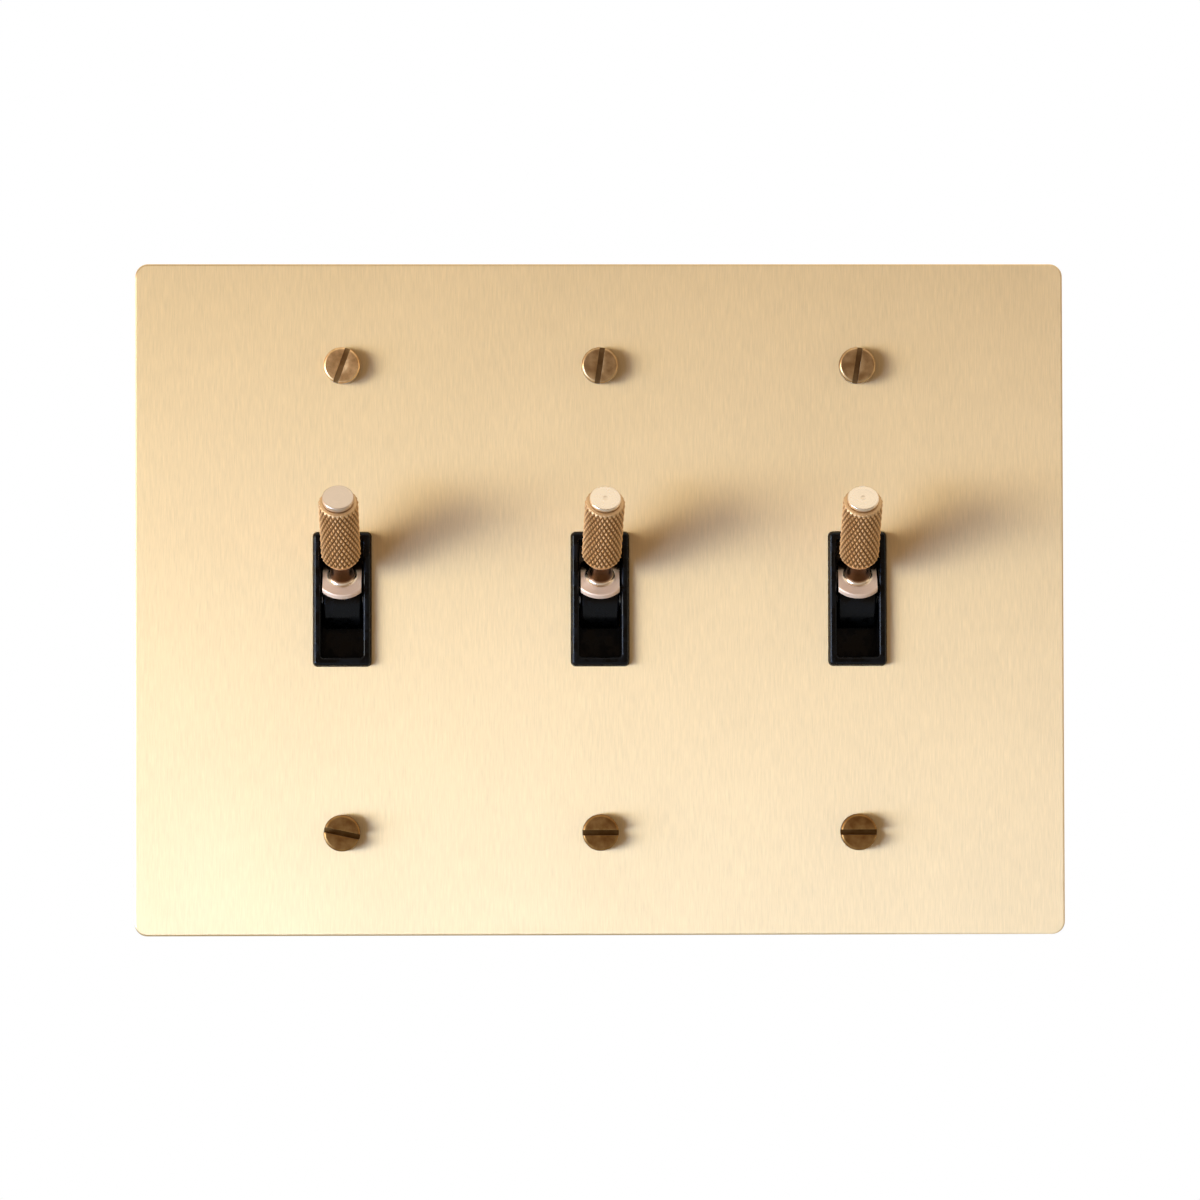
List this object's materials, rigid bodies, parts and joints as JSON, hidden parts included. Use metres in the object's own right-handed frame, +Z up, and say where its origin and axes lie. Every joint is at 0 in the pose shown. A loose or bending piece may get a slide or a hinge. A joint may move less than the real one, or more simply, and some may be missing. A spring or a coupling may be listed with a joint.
{
  "type": "toggle switch plate",
  "caption": "Flat brass wall plate with tilting toggle levers that have knurled grips and stand in black bezels, held by slotted screws, with switch bodies behind",
  "frame": {"origin": "centre of the plate, on the plane of the wall that its rim rests on", "axes": "+X to the right along the row of levers, +Y into the wall, +Z up; the front faces -Y"},
  "size_m": [0.166, 0.0503, 0.12],
  "materials": {
    "satin_brass": "brushed",
    "lever_brass": "polished",
    "antique_brass": "satin",
    "terminal_brass": "plain",
    "copper": "plain",
    "plated_steel": "zinc plated",
    "spring_steel": "drawn",
    "green_steel": "gloss",
    "black_moulding": "gloss",
    "housing_moulding": "satin",
    "rocker_moulding": "satin"
  },
  "bodies": {
    "plate": {"face_plate": "satin_brass", "plate_screws": "antique_brass", "earth_screws": "green_steel", "body_rivets": "plated_steel", "terminal_screws": "terminal_brass", "left_strap": "plated_steel", "left_cover": "black_moulding", "left_housing": "housing_moulding", "left_pivot_pin": "plated_steel", "left_spring": "spring_steel", "left_rocker_pin": "plated_steel", "left_load_terminal": "terminal_brass", "left_line_terminal": "terminal_brass", "middle_strap": "plated_steel", "middle_cover": "black_moulding", "middle_housing": "housing_moulding", "middle_pivot_pin": "plated_steel", "middle_spring": "spring_steel", "middle_rocker_pin": "plated_steel", "middle_load_terminal": "terminal_brass", "middle_line_terminal": "terminal_brass", "right_strap": "plated_steel", "right_cover": "black_moulding", "right_housing": "housing_moulding", "right_pivot_pin": "plated_steel", "right_spring": "spring_steel", "right_rocker_pin": "plated_steel", "right_load_terminal": "terminal_brass", "right_line_terminal": "terminal_brass"},
    "left_lever": {"left_carrier": "black_moulding", "left_lever_stem": "lever_brass", "left_grip": "lever_brass", "left_lever_cap": "lever_brass"},
    "left_rocker_body": {"left_rocker": "rocker_moulding", "left_contact_bridge": "copper"},
    "middle_lever": {"middle_carrier": "black_moulding", "middle_lever_stem": "lever_brass", "middle_grip": "lever_brass", "middle_lever_cap": "lever_brass"},
    "middle_rocker_body": {"middle_rocker": "rocker_moulding", "middle_contact_bridge": "copper"},
    "right_lever": {"right_carrier": "black_moulding", "right_lever_stem": "lever_brass", "right_grip": "lever_brass", "right_lever_cap": "lever_brass"},
    "right_rocker_body": {"right_rocker": "rocker_moulding", "right_contact_bridge": "copper"}
  },
  "joints": [
    {"name": "left_lever_hinge", "type": "hinge", "parent": "plate", "child": "left_lever", "pos_m": [-0.04604, 0.0015, 0], "axis": [1, 0, 0], "range_deg": [0, 76], "deforming": ["left_spring"]},
    {"name": "left_rocker_hinge", "type": "hinge", "parent": "plate", "child": "left_rocker_body", "pos_m": [-0.04604, 0.0165, 0], "axis": [1, 0, 0], "range_deg": [0, 24]},
    {"name": "middle_lever_hinge", "type": "hinge", "parent": "plate", "child": "middle_lever", "pos_m": [0, 0.0015, 0], "axis": [1, 0, 0], "range_deg": [0, 76], "deforming": ["middle_spring"]},
    {"name": "middle_rocker_hinge", "type": "hinge", "parent": "plate", "child": "middle_rocker_body", "pos_m": [0, 0.0165, 0], "axis": [1, 0, 0], "range_deg": [0, 24]},
    {"name": "right_lever_hinge", "type": "hinge", "parent": "plate", "child": "right_lever", "pos_m": [0.04604, 0.0015, 0], "axis": [1, 0, 0], "range_deg": [0, 76], "deforming": ["right_spring"]},
    {"name": "right_rocker_hinge", "type": "hinge", "parent": "plate", "child": "right_rocker_body", "pos_m": [0.04604, 0.0165, 0], "axis": [1, 0, 0], "range_deg": [0, 24]}
  ],
  "couplings": [
    {"joint": "left_rocker_hinge", "follows": "left_lever_hinge", "ratio": 0.31579},
    {"joint": "middle_rocker_hinge", "follows": "middle_lever_hinge", "ratio": 0.31579},
    {"joint": "right_rocker_hinge", "follows": "right_lever_hinge", "ratio": 0.31579}
  ]
}
